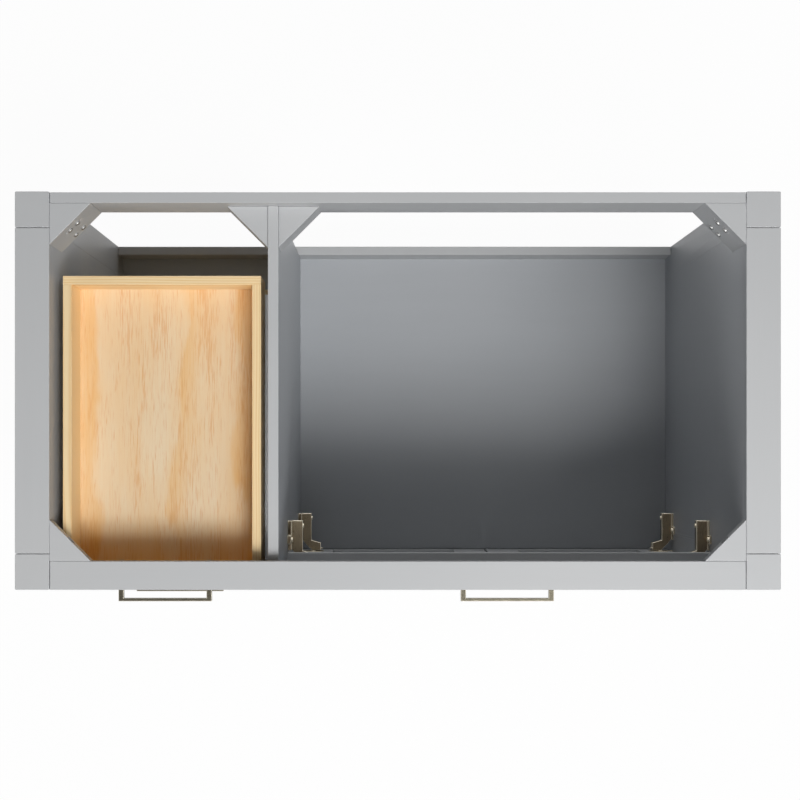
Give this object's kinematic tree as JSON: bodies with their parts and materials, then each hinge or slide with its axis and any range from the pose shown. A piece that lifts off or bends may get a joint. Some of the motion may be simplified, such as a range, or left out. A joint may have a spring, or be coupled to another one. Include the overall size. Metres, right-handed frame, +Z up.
{
  "type": "vanity unit",
  "caption": "Freestanding bathroom vanity cabinet without a countertop, with a bank of drawers, a sink bay behind inset doors, an open back and bar pulls.",
  "frame": {"origin": "on the floor, under the middle of the outline, whose depth takes in the bar pulls", "axes": "+X to the right facing the fronts, +Y to the back, +Z up"},
  "size_m": [1.067, 0.58, 0.851],
  "materials": {
    "painted_wood": "satin light grey paint over wood",
    "pine": "clear sealed pine with visible grain",
    "brushed_nickel": "brushed warm nickel",
    "hinge_steel": "nickel plated pressed steel",
    "zinc_steel": "zinc plated sheet steel",
    "screw_steel": "zinc plated screws",
    "glide_plastic": "matte plastic",
    "bumper_plastic": "soft clear plastic"
  },
  "bodies": {
    "root": {"post_front_left": "painted_wood", "post_front_right": "painted_wood", "post_back_left": "painted_wood", "post_back_right": "painted_wood", "leg_glides": "glide_plastic", "side_rails_left": "painted_wood", "side_rails_right": "painted_wood", "side_panel_left": "painted_wood", "side_panel_right": "painted_wood", "side_lining_left": "painted_wood", "side_lining_right": "painted_wood", "back_rail_top": "painted_wood", "back_rail_bottom": "painted_wood", "front_rail_top": "painted_wood", "front_rail_middle": "zinc_steel", "front_rail_bottom": "painted_wood", "drawer_rails": "painted_wood", "centre_stile": "painted_wood", "partition": "painted_wood", "floor_panel": "painted_wood", "corner_blocks": "painted_wood", "cabinet_screws": "screw_steel", "false_front": "painted_wood", "false_front_cleats": "painted_wood", "false_front_pull": "brushed_nickel", "slide_rails": "zinc_steel", "hinge_arms": "hinge_steel", "door_bumpers": "bumper_plastic"},
    "drawer_top": {"drawer_top_front": "painted_wood", "drawer_top_pull": "brushed_nickel", "drawer_top_sides": "pine", "drawer_top_ends": "pine", "drawer_top_floor": "pine", "drawer_top_runners": "zinc_steel"},
    "slide_top_middle": {"slide_top_middle": "zinc_steel"},
    "drawer_second": {"drawer_second_front": "painted_wood", "drawer_second_pull": "brushed_nickel", "drawer_second_box": "pine", "drawer_second_runners": "zinc_steel"},
    "slide_second_middle": {"slide_second_middle": "zinc_steel"},
    "drawer_third": {"drawer_third_front": "painted_wood", "drawer_third_pull": "brushed_nickel", "drawer_third_box": "pine", "drawer_third_runners": "zinc_steel"},
    "slide_third_middle": {"slide_third_middle": "zinc_steel"},
    "drawer_bottom": {"drawer_bottom_front": "painted_wood", "drawer_bottom_pull": "brushed_nickel", "drawer_bottom_box": "pine", "drawer_bottom_runners": "zinc_steel"},
    "slide_bottom_middle": {"slide_bottom_middle": "zinc_steel"},
    "door_left": {"door_left_frame": "painted_wood", "door_left_panel": "painted_wood", "door_left_pull": "brushed_nickel", "door_left_hinge_cups": "hinge_steel"},
    "door_left_hinge_links": {"door_left_hinge_links": "hinge_steel"},
    "door_right": {"door_right_frame": "painted_wood", "door_right_panel": "painted_wood", "door_right_pull": "brushed_nickel", "door_right_hinge_cups": "hinge_steel"},
    "door_right_hinge_links": {"door_right_hinge_links": "hinge_steel"}
  },
  "joints": [
    {"name": "drawer_top_slide", "type": "slide", "parent": "root", "child": "drawer_top", "axis": [0, -1, 0], "range_m": [0, 0.38]},
    {"name": "slide_top_middle_slide", "type": "slide", "parent": "root", "child": "slide_top_middle", "axis": [0, -1, 0], "range_m": [0, 0.19]},
    {"name": "drawer_second_slide", "type": "slide", "parent": "root", "child": "drawer_second", "axis": [0, -1, 0], "range_m": [0, 0.38]},
    {"name": "slide_second_middle_slide", "type": "slide", "parent": "root", "child": "slide_second_middle", "axis": [0, -1, 0], "range_m": [0, 0.19]},
    {"name": "drawer_third_slide", "type": "slide", "parent": "root", "child": "drawer_third", "axis": [0, -1, 0], "range_m": [0, 0.38]},
    {"name": "slide_third_middle_slide", "type": "slide", "parent": "root", "child": "slide_third_middle", "axis": [0, -1, 0], "range_m": [0, 0.19]},
    {"name": "drawer_bottom_slide", "type": "slide", "parent": "root", "child": "drawer_bottom", "axis": [0, -1, 0], "range_m": [0, 0.38]},
    {"name": "slide_bottom_middle_slide", "type": "slide", "parent": "root", "child": "slide_bottom_middle", "axis": [0, -1, 0], "range_m": [0, 0.19]},
    {"name": "door_left_hinge", "type": "hinge", "parent": "root", "child": "door_left", "pos_m": [-0.163, -0.265, 0.3775], "axis": [0, 0, -1], "range_deg": [0, 90]},
    {"name": "door_left_hinge_links_pivot", "type": "hinge", "parent": "root", "child": "door_left_hinge_links", "pos_m": [-0.14, -0.2395, 0.3775], "axis": [0, 0, -1], "range_deg": [0, 90]},
    {"name": "door_right_hinge", "type": "hinge", "parent": "root", "child": "door_right", "pos_m": [0.4835, -0.265, 0.3775], "axis": [0, 0, 1], "range_deg": [0, 90]},
    {"name": "door_right_hinge_links_pivot", "type": "hinge", "parent": "root", "child": "door_right_hinge_links", "pos_m": [0.4605, -0.2395, 0.3775], "axis": [0, 0, 1], "range_deg": [0, 90]}
  ],
  "couplings": [
    {"joint": "slide_top_middle_slide", "follows": "drawer_top_slide", "ratio": 0.5},
    {"joint": "slide_second_middle_slide", "follows": "drawer_second_slide", "ratio": 0.5},
    {"joint": "slide_third_middle_slide", "follows": "drawer_third_slide", "ratio": 0.5},
    {"joint": "slide_bottom_middle_slide", "follows": "drawer_bottom_slide", "ratio": 0.5},
    {"joint": "door_left_hinge_links_pivot", "follows": "door_left_hinge", "ratio": 1},
    {"joint": "door_right_hinge_links_pivot", "follows": "door_right_hinge", "ratio": 1}
  ]
}
